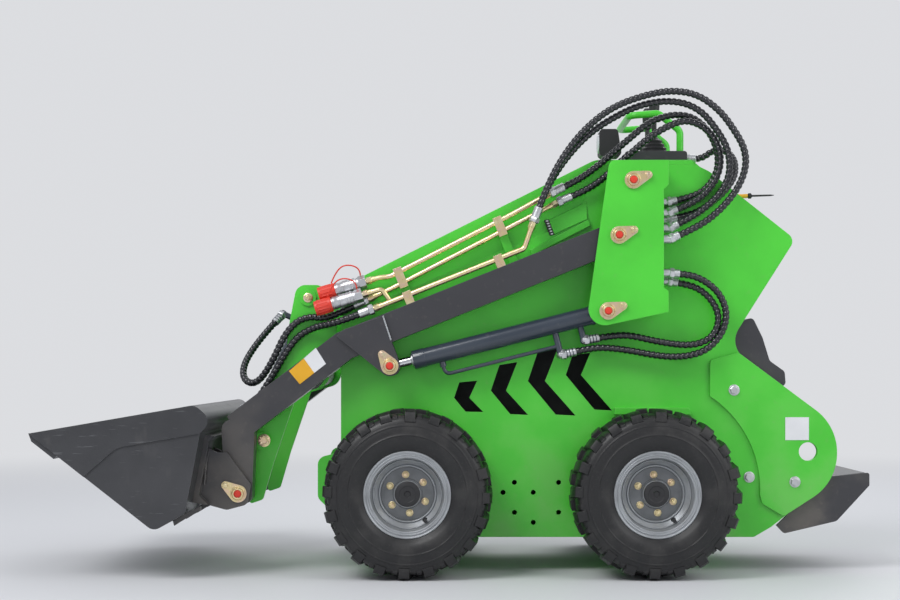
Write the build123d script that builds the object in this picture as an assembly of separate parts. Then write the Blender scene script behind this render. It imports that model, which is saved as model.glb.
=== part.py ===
from build123d import *
import os
from math import atan2, cos, degrees, hypot, pi, radians, sin, tan

# A small stand-on wheeled skid steer loader, in millimetres.
# X runs from the bucket (front, -X) to the operator's step (rear, +X), Y to the machine's right, Z up.
# The ground is at Z = 0 and the middle of the machine's length and width is at X = 0, Y = 0.

# ---------------------------------------------------------------- driving sizes
# wheels
wheelbase = 670.0
front_axle_x = -142.0
tyre_radius = 230.0
tyre_width = 216.0
tyre_gap = 27.0
lug_height = 13.0
lug_count = 20
bead_radius = 104.0
rim_width = 176.0
rim_flange_radius = 116.0
rim_wall = 5.0
disc_radius = 74.0
hub_radius = 36.0
spindle_radius = 20.0
motor_radius = 62.0
running_gap = 0.1

# chassis
body_half_width = 262.0
side_sheet = 8.0
floor_height = 96.0
body_front_x = -333.0
nose_x = -398.0
hood_low_z = 799.0
deck_z = 1140.0
hood_top_x = 380.0
deck_rear_x = 560.0
deck_rise = 14.0
panel_sheet = 5.0
waist = (752.0, 633.0)
tail_x = 1055.0
tail_plate_thickness = 10.0
tie_hole_radius = 26.0
tie_hole = (974.0, 336.0)

# pivots of the loader, as (x, z)
boom_pivot = (436.0, 934.0)
lift_base = (406.0, 726.0)
brace_pin = (475.0, 1085.0)
lift_eye = (-193.0, 575.0)
bucket_pivot = (-609.0, 225.0)
tilt_base = (-426.0, 767.0)
pin_radius = 15.0
pin_fit = 0.1

# loader arms
arm_gap = 13.0
arm_width = 70.0
arm_depth = 80.0
arm_elbow = (-318.0, 632.0)
arm_knee = (-618.0, 404.0)
ear_thickness = 10.0
tower_gap = 10.0
tower_thickness = 10.0
tower_web_x = 549.0
cross_tube_radius = 38.0

# cylinders
lift_barrel_radius = 26.0
lift_rod_radius = 14.0
tilt_barrel_radius = 30.0
tilt_rod_radius = 14.0
eye_radius = 25.0
eye_width = 36.0
tilt_lever = 125.0
tilt_lever_angle = 25.0

# bucket
bucket_width = 1000.0
bucket_sheet = 6.0
blade_length = 95.0
blade_thickness = 12.0
attach_thickness = 14.0

# operator's end
step_rear_x = 1150.0
step_top_z = 276.0
step_sheet = 8.0

# hoses and their fittings
hose_radius = 10.0
ferrule_radius = 12.0
ferrule_length = 42.0
fitting_ball = 11.0
bulkhead_length = 18.0
web_ferrule_length = 28.0
port_radius = 9.0
pipe_radius = 7.0

# ---------------------------------------------------------------- derived places
rear_axle_x = front_axle_x + wheelbase
wheel_y = body_half_width + tyre_gap + tyre_width / 2
arm_inner_y = body_half_width + arm_gap
arm_outer_y = arm_inner_y + arm_width
tower_inner_y = arm_outer_y + tower_gap
tower_outer_y = tower_inner_y + tower_thickness
body_inner_y = body_half_width - side_sheet
cylinder_y = (arm_inner_y + arm_outer_y) / 2
step_half_width = body_inner_y
deck_top_z = deck_z + deck_rise
low_pipe_y = arm_inner_y + 37
high_pipe_y = arm_inner_y + 13
outer_pipe_y = arm_outer_y - 9
web_rear_x = tower_web_x + 10

FOOT = (Align.CENTER, Align.CENTER, Align.MIN)
HEAD = (Align.CENTER, Align.CENTER, Align.MAX)
parts = {}


def face(corners):
    """A flat face in X and Z whose outline turns at each (x, z, radius) corner."""
    bends = []
    for i, (x, z, radius) in enumerate(corners):
        here = Vector(x, z)
        before = (Vector(*corners[i - 1][:2]) - here).normalized()
        after = (Vector(*corners[(i + 1) % len(corners)][:2]) - here).normalized()
        if radius == 0:
            bends.append((here, here, here))
            continue
        half = radians(before.get_angle(after)) / 2
        reach = radius / tan(half)
        middle = (before + after).normalized() * (radius / sin(half) - radius)
        bends.append((here + before * reach, here + middle, here + after * reach))
    edges = []
    for i, (start, middle, end) in enumerate(bends):
        if (end - start).length > 0:
            edges.append(ThreePointArc(start, middle, end))
        edges.append(Line(end, bends[(i + 1) % len(bends)][0]))
    return make_face(edges)


def slab(flat, y_from, y_to):
    """A face in X and Z, made solid between two places across the machine."""
    return Pos(0, y_to, 0) * extrude(Plane.XZ * flat, amount=y_to - y_from)


def mirrored(solid):
    return mirror(solid, Plane.XZ)


def disc(centre, radius, y_from, y_to):
    """A round bar across the machine, at an (x, z) centre."""
    return slab(Pos(*centre) * Circle(radius), y_from, y_to)


def hull(p, p_radius, q, q_radius):
    """The face of a link plate: two round ends with straight sides."""
    ends = (Pos(*p) * Circle(p_radius)).edges() + (Pos(*q) * Circle(q_radius)).edges()
    return make_hull(ends)


def beam(line, depth):
    """The face of a bar of one depth along a line of straight runs."""
    above = []
    below = []
    for i, point in enumerate(line):
        runs = []
        for j in (i - 1, i):
            if 0 <= j < len(line) - 1:
                runs.append((Vector(*line[j + 1]) - Vector(*line[j])).normalized())
        along = (runs[0] + runs[-1]).normalized()
        across = Vector(-along.Y, along.X)
        half = depth / 2 / across.dot(Vector(-runs[0].Y, runs[0].X))
        here = Vector(*point)
        above.append(here + across * half)
        below.insert(0, here - across * half)
    return face([(v.X, v.Y, 0) for v in above + below])


def toward(start, end, distance):
    """The (x, z) point that lies a distance from start on the way to end."""
    length = hypot(end[0] - start[0], end[1] - start[1])
    share = distance / length
    return (start[0] + (end[0] - start[0]) * share, start[1] + (end[1] - start[1]) * share)


# ---------------------------------------------------------------- wheels
carcass_radius = tyre_radius - lug_height
half_rim = rim_width / 2
half_tyre = tyre_width / 2
shoulder = half_tyre - 14.0


def turned(outline):
    """A profile of (along the axle, radius) points, turned about the axle, with its outside towards +Y."""
    return revolve(Plane.XY * make_face(Polyline(*outline, close=True)), Axis.X)


def tyre():
    """The carcass, and two rows of square lugs, the second turned by half a pitch."""
    wall_foot = rim_flange_radius + 1.0
    sidewall = carcass_radius - 14.0
    belly = (wall_foot + sidewall) / 2
    edges = [
        Line((-half_rim + 8, bead_radius), (half_rim - 8, bead_radius)),
        Line((half_rim - 8, bead_radius), (half_rim - 8, wall_foot)),
        ThreePointArc((half_rim - 8, wall_foot), (half_tyre - 0.3, belly), (shoulder, sidewall)),
        Line((shoulder, sidewall), (shoulder - 14, carcass_radius)),
        Line((shoulder - 14, carcass_radius), (14 - shoulder, carcass_radius)),
        Line((14 - shoulder, carcass_radius), (-shoulder, sidewall)),
        ThreePointArc((-shoulder, sidewall), (0.3 - half_tyre, belly), (8 - half_rim, wall_foot)),
        Line((8 - half_rim, wall_foot), (8 - half_rim, bead_radius)),
    ]
    carcass = revolve(make_face(edges), Axis.X)
    pitch = 360.0 / lug_count
    root = carcass_radius - 22.0
    outer = shoulder + 2.0
    flank = [
        (2, root), (outer, root), (outer + 4, tyre_radius - 20), (outer - 8, tyre_radius), (2, tyre_radius),
    ]
    lug_thick = pi * 2 * tyre_radius / lug_count * 0.46
    lug = extrude(make_face(Polyline(*flank, close=True)), amount=lug_thick / 2, both=True)
    ring = carcass
    rows = []
    for n in range(lug_count):
        rows.append(Rot(X=n * pitch) * lug)
        rows.append(Rot(X=(n + 0.5) * pitch) * mirror(lug, Plane.YZ))
    ring = ring + rows
    return ring


def rim():
    """A welded steel rim with a dished disc, six nut seats and a short hub."""
    bore = spindle_radius + running_gap
    wall = bead_radius - 0.4
    profile = [
        (-half_rim, rim_flange_radius), (-half_rim + 7, rim_flange_radius), (-half_rim + 7, wall),
        (half_rim - 7, wall), (half_rim - 7, rim_flange_radius), (half_rim, rim_flange_radius),
        (half_rim - 3, wall - rim_wall), (52, wall - rim_wall - 6), (34, disc_radius), (34, hub_radius + 2),
        (54, hub_radius), (54, bore), (-24, bore), (-24, hub_radius), (26, hub_radius + 2), (26, disc_radius),
        (40, wall - rim_wall - 8), (-half_rim + 12, wall - rim_wall), (-half_rim, wall - rim_wall + 3),
    ]
    return turned(profile)


tyre_solid = tyre()
rim_solid = rim()
# name, axle x, side of the machine (-1 left, 1 right)
wheels = [
    ("front_left", front_axle_x, -1),
    ("front_right", front_axle_x, 1),
    ("rear_left", rear_axle_x, -1),
    ("rear_right", rear_axle_x, 1),
]
for name, axle_x, side in wheels:
    place = Pos(axle_x, side * wheel_y, tyre_radius) * Rot(Z=90 * side)
    parts["tyre_" + name] = place * tyre_solid
    parts["rim_" + name] = place * rim_solid

# ---------------------------------------------------------------- chassis
tail_low_x = 824.0
side_outline = [
    (body_front_x, floor_height, 20), (tail_low_x, floor_height, 15), (tail_low_x + 48, floor_height + 28, 0),
    (tail_x - 8, 262, 140), (tail_x - 8, 402, 140), (waist[0], waist[1], 60),
    (940, 930, 25), (700, 1120, 60), (660, deck_z, 20), (380, deck_z, 0), (330, 985, 60),
    (body_front_x, 715, 25), (body_front_x, 335, 15), (nose_x, 318, 25), (nose_x, 205, 25),
    (body_front_x - 8, 150, 20),
]
# apex x, apex z, rise of the upper leg, drop of the lower leg, width of the cut
chevrons = [
    (-16.0, 486.0, 48.0, 40.0, 50.0),
    (87.0, 506.0, 80.0, 68.0, 50.0),
    (191.0, 533.0, 92.0, 97.0, 56.0),
    (297.0, 550.0, 62.0, 100.0, 50.0),
]
# x, z of the bolt holes low in the side plates
mount_holes = [(153, 249), (206, 221), (277, 249), (121, 221), (153, 165), (206, 137), (277, 165)]
# a short ledge on the side plate, over the inner edge of the rear tyre
ledge_front_x = 432.0
ledge_length = 214.0
ledge_height = 18.0
ledge_depth = tyre_gap - 9
side_face = face(side_outline)
for apex_x, apex_z, rise, drop, width in chevrons:
    side_face -= face([
        (apex_x, apex_z, 0), (apex_x + rise * 0.3, apex_z + rise * 0.9, 0),
        (apex_x + rise * 0.3 + width, apex_z + rise, 0), (apex_x + width * 0.85, apex_z, 0),
        (apex_x + width + drop * 0.8, apex_z - drop, 0), (apex_x + drop * 0.8, apex_z - drop * 0.97, 0),
    ])
for hole in mount_holes:
    side_face -= Pos(*hole) * Circle(7)
side_plate = slab(side_face, -body_half_width, -body_inner_y)
ledge_top_z = 2 * tyre_radius - 2
ledge_rear_x = ledge_front_x + ledge_length
ledge = face([
    (ledge_front_x, ledge_top_z - ledge_height, 0), (ledge_rear_x, ledge_top_z - ledge_height, 0),
    (ledge_rear_x - 6, ledge_top_z, 0), (ledge_front_x, ledge_top_z, 0),
])
side_plate += slab(ledge, -body_half_width - ledge_depth, -body_half_width)
for axle_x in (front_axle_x, rear_axle_x):
    side_plate -= disc((axle_x, tyre_radius), spindle_radius + 25, -body_half_width - 1, -body_inner_y + 1)
parts["side_plate_left"] = side_plate
parts["side_plate_right"] = mirrored(side_plate)

# floor pan with a turned-up front, between the side plates
floor_profile = [
    (body_front_x + 12, floor_height, 0), (tail_low_x, floor_height, 0),
    (tail_low_x, floor_height + side_sheet, 0), (body_front_x + 12, floor_height + side_sheet, 0),
]
parts["floor_pan"] = slab(face(floor_profile), -body_inner_y, body_inner_y)
front_profile = [
    (body_front_x + 4, floor_height + side_sheet, 0),
    (body_front_x + 4 + side_sheet, floor_height + side_sheet, 0),
    (body_front_x + 4 + side_sheet, 700, 0), (body_front_x + 4, 700, 0),
]
parts["front_panel"] = slab(face(front_profile), -body_inner_y, body_inner_y)

# hood: a folded sheet with closed sides, open below, that stands on the front panel
hood_front_x = body_front_x + 4
hood_outer = [
    (hood_front_x, 700, 0), (hood_front_x, hood_low_z, 18), (hood_top_x, deck_top_z, 60),
    (deck_rear_x, deck_top_z, 0), (deck_rear_x, 1060, 0), (hood_top_x, 1010, 0), (hood_front_x + 60, 700, 0),
]
inset = panel_sheet
hood_inner = [
    (hood_front_x + inset, 690, 0), (hood_front_x + inset, hood_low_z - 3, 14),
    (hood_top_x + 1, deck_top_z - inset, 56), (deck_rear_x + 10, deck_top_z - inset, 0),
    (deck_rear_x + 10, 1055, 0), (hood_top_x, 990, 0), (hood_front_x + 60, 690, 0),
]
hood = slab(face(hood_outer), -body_inner_y, body_inner_y)
hood -= slab(face(hood_inner), -body_inner_y + inset, body_inner_y - inset)
parts["hood"] = hood

# deck behind the hood, the sloping cover and the knee panel, folded from one sheet
cover_z = deck_top_z - panel_sheet / 2
cover = beam([(deck_rear_x, cover_z), (650, cover_z), (918, 926), (790, 714)], panel_sheet)
parts["rear_cover"] = slab(cover, -body_inner_y, body_inner_y)
engine_half_width = body_half_width - 112
engine_front_x = -40.0
engine_rear_x = 690.0
engine_low_z = 170.0
engine_top_z = 640.0
engine = slab(face([
    (engine_front_x, engine_low_z, 20), (engine_rear_x, engine_low_z, 20),
    (engine_rear_x, engine_top_z, 30), (engine_front_x, engine_top_z, 30),
]), -engine_half_width, engine_half_width)
for foot_x in (engine_front_x + 50, engine_rear_x - 90):
    foot = face([(foot_x, floor_height + side_sheet, 0), (foot_x + 40, floor_height + side_sheet, 0),
                 (foot_x + 40, engine_low_z + 10, 0), (foot_x, engine_low_z + 10, 0)])
    engine += slab(foot, -engine_half_width, engine_half_width)
parts["engine"] = engine
tank_front_x = engine_rear_x + 10
parts["rear_tank"] = slab(face([
    (tank_front_x, 420, 15), (tank_front_x + 115, 450, 15), (tank_front_x + 215, 525, 12),
    (tank_front_x + 212, 560, 14), (tank_front_x + 170, 590, 18), (tank_front_x + 150, 655, 18),
    (tank_front_x + 122, 712, 12), (tank_front_x + 88, 700, 10), (tank_front_x + 20, 700, 15),
]), -body_inner_y, body_inner_y)

# bolted tail plates, cut round the rear tyre
tail_clear = tyre_radius + 82.0
tail_face = face([
    (700, 400, 0), (700, 592, 12), (waist[0] + 27, 613, 0), (tail_x, 408, 147), (tail_x, 251, 147),
    (906, 155, 12), (846, 190, 10), (830, 250, 0),
])
tail_face -= Pos(rear_axle_x, tyre_radius) * Circle(tail_clear)
tail_face -= Pos(*tie_hole) * Circle(tie_hole_radius)
tail = slab(tail_face, -body_half_width - tail_plate_thickness, -body_half_width)
parts["tail_plate_left"] = tail
parts["tail_plate_right"] = mirrored(tail)
for name in ("side_plate_left", "side_plate_right"):
    parts[name] -= disc(tie_hole, tie_hole_radius, -body_half_width - 1, body_half_width + 1)

# ---------------------------------------------------------------- towers that carry the arms
tower_face = face([
    (410, deck_z, 20), (572, deck_z, 0), (572, 1072, 0), (web_rear_x, 1060, 0), (web_rear_x, 790, 0),
    (572, 780, 0), (572, 723, 0), (344, 674, 45),
])
tower = slab(tower_face, -tower_outer_y, -tower_inner_y)
web = face([(tower_web_x, 730, 0), (web_rear_x, 730, 0), (web_rear_x, deck_z, 0), (tower_web_x, deck_z, 0)])
tower += slab(web, -tower_inner_y, -body_half_width)
brace_boss = 22.0
tower += disc(brace_pin, pin_radius + 11, -tower_inner_y, -tower_inner_y + brace_boss)
parts["tower_left"] = tower
parts["tower_right"] = mirrored(tower)

# pin place, tail of its keeper plate from the pin, inner end of the shaft
flag_radius = 24.0
flag_tail_radius = 11.0
flag_thickness = 6.0


def pin(place, tail, inner_y, outer_y):
    """A pin on the left side with a keeper plate flat on the outer face of what holds it."""
    tip = (place[0] + tail[0], place[1] + tail[1])
    shaft = disc(place, pin_radius, -outer_y - flag_thickness - 6, -inner_y)
    return shaft + slab(hull(place, flag_radius, tip, flag_tail_radius), -outer_y - flag_thickness, -outer_y)


tower_tail = (41.0, 14.0)
tower_pins = []
for place, inner_y in (
        (boom_pivot, body_half_width), (lift_base, body_half_width), (brace_pin, tower_inner_y - brace_boss)):
    tower_pins.append(pin(place, tower_tail, inner_y, tower_outer_y))
    for name in ("tower_left", "tower_right"):
        parts[name] -= disc(place, pin_radius, -tower_outer_y - 1, tower_outer_y + 1)
parts["tower_pins"] = Compound(tower_pins + [mirrored(p) for p in tower_pins])

# ---------------------------------------------------------------- drive motors and spindles
motors = []
for name, axle_x, side in wheels:
    centre = (axle_x, tyre_radius)
    low = min(side * body_half_width, side * (wheel_y - 40))
    high = max(side * body_half_width, side * (wheel_y - 40))
    motor = disc(centre, motor_radius, low, high)
    low = min(side * (body_inner_y - 90), side * (wheel_y + 50))
    high = max(side * (body_inner_y - 90), side * (wheel_y + 50))
    motors.append(motor + disc(centre, spindle_radius, low, high))
parts["wheel_motors"] = Compound(motors)

# ---------------------------------------------------------------- loader arms
arm_line = [boom_pivot, arm_elbow, arm_knee]
arm_face = beam(arm_line, arm_depth)
arm_face += Pos(*boom_pivot) * Circle(arm_depth / 2)
arm_face += face([
    (arm_knee[0] + 53, arm_knee[1] + 20, 0), (arm_knee[0] - 40, arm_knee[1] + 22, 25),
    (arm_knee[0] - 36, arm_knee[1] - 60, 20), (bucket_pivot[0] - 30, bucket_pivot[1] - 4, 26),
    (bucket_pivot[0] + 8, bucket_pivot[1] - 34, 24), (bucket_pivot[0] + 36, bucket_pivot[1] - 20, 20),
])
arm = slab(arm_face, -arm_outer_y, -arm_inner_y)
bore = pin_radius + pin_fit
for place in (boom_pivot, bucket_pivot):
    arm -= disc(place, bore, -arm_outer_y - 1, -arm_inner_y + 1)
# x, z from the lift eye, radius; the round end is centred on the eye
ear_corners = [(-19, 138, 0), (-125, 101, 0), (-147, 82, 0), (63, -86, 28), (3, 71, 0)]
ear_face = face([(lift_eye[0] + x, lift_eye[1] + z, radius) for x, z, radius in ear_corners])
arm += slab(ear_face, -arm_inner_y - ear_thickness, -arm_inner_y)
arm += slab(ear_face, -arm_outer_y - ear_thickness, -arm_outer_y)
arm -= disc(lift_eye, pin_radius, -arm_outer_y - ear_thickness - 1, -arm_outer_y + 1)
parts["arm_left"] = arm
parts["arm_right"] = mirrored(arm)

# cross tube between the arms, and the two lever plates it carries
cross_place = toward(arm_elbow, arm_knee, 130)
lever_outer_y = arm_inner_y - 25
lever_inner_y = lever_outer_y - 12
lever_face = face([
    (-458, 803, 30), (-380, 803, 34), (-345, 690, 50), (-370, 520, 40), (-458, 496, 0), (-521, 310, 0),
    (-553, 200, 12), (-592, 187, 8), (-588, 420, 60), (-492, 590, 60), (-478, 700, 0),
])
lever_face -= Pos(*cross_place) * Circle(cross_tube_radius)
lever_boss = (-556.0, 366.0)
lever = slab(lever_face, -lever_outer_y, -lever_inner_y) + disc(lever_boss, 22, -arm_inner_y, -lever_outer_y)
lever -= disc(tilt_base, pin_radius + 8, -lever_outer_y - 1, -lever_inner_y + 1)
parts["lever_plates"] = Compound([lever, mirrored(lever)])
parts["cross_tube"] = disc(cross_place, cross_tube_radius, -arm_inner_y, arm_inner_y)
tilt_gap = 30.0
tilt_shaft = disc(tilt_base, pin_radius + 8, -lever_outer_y - 6, -tilt_gap)
tilt_shaft += mirrored(tilt_shaft)
parts["tilt_shaft"] = tilt_shaft + disc(tilt_base, pin_radius, -tilt_gap, tilt_gap)

lift_pin = pin(lift_eye, (-21.0, 32.0), arm_outer_y, arm_outer_y + ear_thickness)
parts["lift_pins"] = Compound([lift_pin, mirrored(lift_pin)])


# ---------------------------------------------------------------- cylinders
def cylinder(base, eye, side_y, barrel_radius, rod_radius, gap, gland):
    """A barrel that turns on its base pin and a rod that slides in it, from base to eye at rest."""
    length = hypot(eye[0] - base[0], eye[1] - base[1])
    slope = degrees(atan2(eye[1] - base[1], eye[0] - base[0]))
    place = Pos(base[0], side_y, base[1]) * Rot(Y=-slope)
    bore_radius = barrel_radius - 7
    gland_x = length - gland
    back_x = eye_radius + 14
    barrel = Pos(back_x, 0, 0) * Rot(Y=90) * Cylinder(barrel_radius, gland_x - back_x, align=FOOT)
    barrel -= Pos(back_x + 12, 0, 0) * Rot(Y=90) * Cylinder(bore_radius, gland_x - back_x - 30, align=FOOT)
    barrel -= Pos(back_x + 12, 0, 0) * Rot(Y=90) * Cylinder(rod_radius + running_gap, length, align=FOOT)
    lug = hull((0, 0), eye_radius, (back_x + 4, 0), eye_radius - 4)
    lug = slab(lug, -eye_width / 2, eye_width / 2)
    barrel += lug
    barrel -= slab(Circle(pin_radius + pin_fit), -eye_width, eye_width)
    inner = back_x + 40
    rod = Pos(inner, 0, 0) * Rot(Y=90) * Cylinder(rod_radius, length - inner - eye_radius + 4, align=FOOT)
    rod += Pos(inner, 0, 0) * Rot(Y=90) * Cylinder(bore_radius - 0.3, 24, align=FOOT)
    rod += slab(Pos(length, 0) * Circle(eye_radius), -eye_width / 2, eye_width / 2)
    rod += slab(Pos(length, 0) * Circle(pin_radius), -gap, gap)
    return place, barrel, place * rod


def stub(along, way, surface, reach):
    """A round port on a barrel, from inside its wall to a reach from its middle line, up or down."""
    solid = Cylinder(port_radius, reach - surface + 4, align=FOOT if way > 0 else HEAD)
    return Pos(along, 0, way * (surface - 4)) * solid


def tube(points, radius, bend):
    """A round bar along straight runs joined by arcs, through (x, y, z) points."""
    path = FilletPolyline(*points, radius=bend)
    start = Plane(origin=path @ 0, z_dir=path % 0)
    return sweep(start * Circle(radius), path=path)


def at(frame, along, height):
    """The (x, y, z) place of a point along a cylinder and over its middle line."""
    spot = (frame * Pos(along, 0, height)).position
    return (spot.X, spot.Y, spot.Z)


lift_pin_half = arm_width / 2 - ear_thickness - 0.5
lift_frame, barrel, rod = cylinder(
    lift_base, lift_eye, -cylinder_y, lift_barrel_radius, lift_rod_radius, lift_pin_half, 66.0)
# the lift barrel's ports hang below it, and a pipe under it feeds the end with the gland
lift_port_low = (80.0, 62.0)
lift_port_feed = (152.0, 86.0)
feed_end = 475.0
feed_drop = 60.0
for along, reach in (lift_port_low, lift_port_feed):
    barrel += stub(along, 1, lift_barrel_radius, reach)
    barrel += Pos(along, 0, reach) * Sphere(fitting_ball)
barrel += stub(feed_end, 1, lift_barrel_radius, lift_barrel_radius + 12)
barrel += tube([
    (lift_port_feed[0], 0, feed_drop), (feed_end, 0, feed_drop), (feed_end, 0, lift_barrel_radius + 4),
], 5.5, 16.0)
barrel = lift_frame * barrel
parts["lift_barrel_left"] = barrel
parts["lift_barrel_right"] = mirrored(barrel)
parts["lift_rod_left"] = rod
parts["lift_rod_right"] = mirrored(rod)

tilt_reach = degrees(atan2(tilt_base[1] - bucket_pivot[1], tilt_base[0] - bucket_pivot[0])) + tilt_lever_angle
tilt_eye = (
    bucket_pivot[0] + tilt_lever * cos(radians(tilt_reach)),
    bucket_pivot[1] + tilt_lever * sin(radians(tilt_reach)),
)
tilt_frame, barrel, rod = cylinder(
    tilt_base, tilt_eye, 0, tilt_barrel_radius, tilt_rod_radius, tilt_gap - 0.5, 60.0)
tilt_length = hypot(tilt_eye[0] - tilt_base[0], tilt_eye[1] - tilt_base[1])
tilt_ports = [(73.0, 70.0), (tilt_length - 90.0, 53.0)]
for along, reach in tilt_ports:
    barrel += stub(along, -1, tilt_barrel_radius, reach)
    barrel += Pos(along, 0, -reach) * Sphere(fitting_ball)
parts["tilt_barrel"] = tilt_frame * barrel
parts["tilt_rod"] = rod

# ---------------------------------------------------------------- bucket and its carrier
# x, z from the bucket pivot, radius of the bend
lip = (-541.0, 170.0)
heel = (-208.0, -91.0)
back_foot = (-124.0, -42.0)
back_top = (-84.0, 170.0)
crown = (-50.0, 205.0)
brow = (-98.0, 246.0)


def from_pivot(points):
    return [(bucket_pivot[0] + p[0], bucket_pivot[1] + p[1], p[2] if len(p) > 2 else 0) for p in points]


outer_points = [lip, heel + (28,), back_foot + (20,), back_top, crown + (30,), brow + (30,)]
bucket_face = face(from_pivot(outer_points))
hollow_face = offset(bucket_face, amount=-bucket_sheet, kind=Kind.INTERSECTION)
mouth = face(from_pivot([
    (lip[0] + 24, lip[1] - 12), (brow[0] - 60, brow[1] - 22), (brow[0] - 60, brow[1] + 60),
    (lip[0] - 60, lip[1] + 60),
]))
half_bucket = bucket_width / 2
bucket = slab(bucket_face, -half_bucket, half_bucket)
bucket -= slab(hollow_face + mouth, -half_bucket + bucket_sheet, half_bucket - bucket_sheet)
parts["bucket_shell"] = bucket

floor_angle = atan2(lip[1] - heel[1], lip[0] - heel[0])
down = (cos(floor_angle + pi / 2), sin(floor_angle + pi / 2))
lip_back = toward(lip, heel, blade_length)
lip_bevel = toward(lip, heel, blade_thickness * 1.6)
blade = face(from_pivot([
    lip, lip_back, (lip_back[0] + down[0] * blade_thickness, lip_back[1] + down[1] * blade_thickness),
    (lip_bevel[0] + down[0] * blade_thickness, lip_bevel[1] + down[1] * blade_thickness),
]))
parts["bucket_blade"] = slab(blade, -half_bucket, half_bucket)

cutter_face = face(from_pivot([
    lip, toward(lip, heel, 187), (-306, 132, 60), back_top, crown + (30,), brow + (30,),
]))
cutter = slab(cutter_face, -half_bucket - 4, -half_bucket)
parts["side_cutters"] = Compound([cutter, mirrored(cutter)])

# carrier: a plate flat on the bucket's back, with ears for the arms and for the tilt rod
back_angle = atan2(back_top[1] - back_foot[1], back_top[0] - back_foot[0])
rear = (sin(back_angle), -cos(back_angle))


def off_back(share, distance):
    """A point on the bucket's back, from its foot (0) to its top (1), and a distance behind it."""
    x = back_foot[0] + (back_top[0] - back_foot[0]) * share + rear[0] * distance
    z = back_foot[1] + (back_top[1] - back_foot[1]) * share + rear[1] * distance
    return (x, z)


carrier_face = face(from_pivot([
    off_back(0.1, 0), off_back(0.97, 0), off_back(0.97, 26), off_back(0.9, attach_thickness),
    off_back(0.2, attach_thickness), off_back(0.1, 44),
]))
carrier = slab(carrier_face, -400, 400)
ear_clear = 5.0
ear_plate = 12.0
ear = from_pivot([
    off_back(0.1, 4), off_back(0.8, 4), (-58, 113), (-31, 113), (36, 24, 12), (26, -30, 20), (-31, -45, 20),
])
for inner_y in (arm_outer_y + ear_clear, arm_inner_y - ear_clear - ear_plate):
    plate = slab(face(ear), -inner_y - ear_plate, -inner_y)
    plate -= disc(bucket_pivot, pin_radius, -inner_y - ear_plate - 1, -inner_y + 1)
    carrier += [plate, mirrored(plate)]
eye_x = tilt_eye[0] - bucket_pivot[0]
eye_z = tilt_eye[1] - bucket_pivot[1]
tilt_ear = face(from_pivot([
    off_back(0.35, 4), off_back(0.88, 4), (eye_x - 10, eye_z + 30, 20), (eye_x + 28, eye_z + 26, 20),
    (eye_x + 24, eye_z - 34, 20),
]))
tilt_ear = slab(tilt_ear, -tilt_gap - ear_plate, -tilt_gap)
carrier += [tilt_ear, mirrored(tilt_ear)]
parts["quick_attach"] = carrier
pin_outer_y = arm_outer_y + ear_clear + ear_plate
bucket_pin = pin(bucket_pivot, (-34.0, 23.0), arm_inner_y - ear_clear - ear_plate, pin_outer_y)
parts["bucket_pins"] = Compound([bucket_pin, mirrored(bucket_pin)])

# ---------------------------------------------------------------- pipes on the left arm
arm_run = (Vector(*arm_elbow) - Vector(*boom_pivot)).normalized()
arm_up = Vector(arm_run.Y, -arm_run.X)


def on_arm(along, height):
    """The (x, z) place at a distance from the boom pivot along the arm, and a height over its middle."""
    place = Vector(*boom_pivot) + arm_run * along + arm_up * height
    return (place.X, place.Y)


clamp_length = 24.0
coupler_radius = 17.0
coupler_length = 92.0
cap_radius = 20.5
cap_length = 44.0
# distance across, bend radius, and (along, height) places from front to rear
pipes = {
    "low": (low_pipe_y, 14.0, [(716, 113), (660, 108), (650, 64), (253, 64), (202, 122)]),
    "middle": (high_pipe_y, 60.0, [(706, 96), (634, 100), (258, 137), (116, 151)]),
    "top": (high_pipe_y, 60.0, [(694, 145), (655, 141), (628, 133), (259, 166), (126, 182)]),
    "outer": (outer_pipe_y, 14.0, [(700, 64), (253, 64), (202, 122)]),
}
pipe_solids = []
pipe_fronts = {}
pipe_rears = {}
for name, (across, bend, run) in pipes.items():
    places = [on_arm(*place) for place in run]
    pipe_solids.append(tube([(x, -across, z) for x, z in places], pipe_radius, bend))
    pipe_fronts[name] = (places[0][0], -across, places[0][1])
    pipe_rears[name] = (places[-1][0], -across, places[-1][1])
parts["boom_pipes"] = Compound(pipe_solids)

# part, place along the arm, low edge, high edge, inner and outer place across
arm_top = arm_depth / 2
holders = [
    ("pipe_clamps", 600, arm_top, 64 + pipe_radius + 4, low_pipe_y - 12, outer_pipe_y + 9),
    ("pipe_clamps", 330, arm_top, 64 + pipe_radius + 4, low_pipe_y - 12, outer_pipe_y + 9),
    ("pipe_clamps", 600, 90, 148, high_pipe_y - 9, high_pipe_y + 12),
    ("pipe_clamps", 290, 121, 176, high_pipe_y - 9, high_pipe_y + 12),
    ("pipe_brackets", 600, arm_top, 148, arm_inner_y, high_pipe_y - 9),
    ("pipe_brackets", 290, arm_top, 176, arm_inner_y, high_pipe_y - 9),
]
held = {"pipe_clamps": [], "pipe_brackets": []}
for name, along, low, high, inner_y, outer_y in holders:
    near = along - clamp_length / 2
    far = along + clamp_length / 2
    corners = [on_arm(near, low), on_arm(far, low), on_arm(far, high), on_arm(near, high)]
    block = slab(face([corner + (0,) for corner in corners]), -outer_y, -inner_y)
    for pipe in pipe_solids:
        block -= pipe
    held[name].append(block)
for name, blocks in held.items():
    parts[name] = Compound(blocks)

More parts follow.
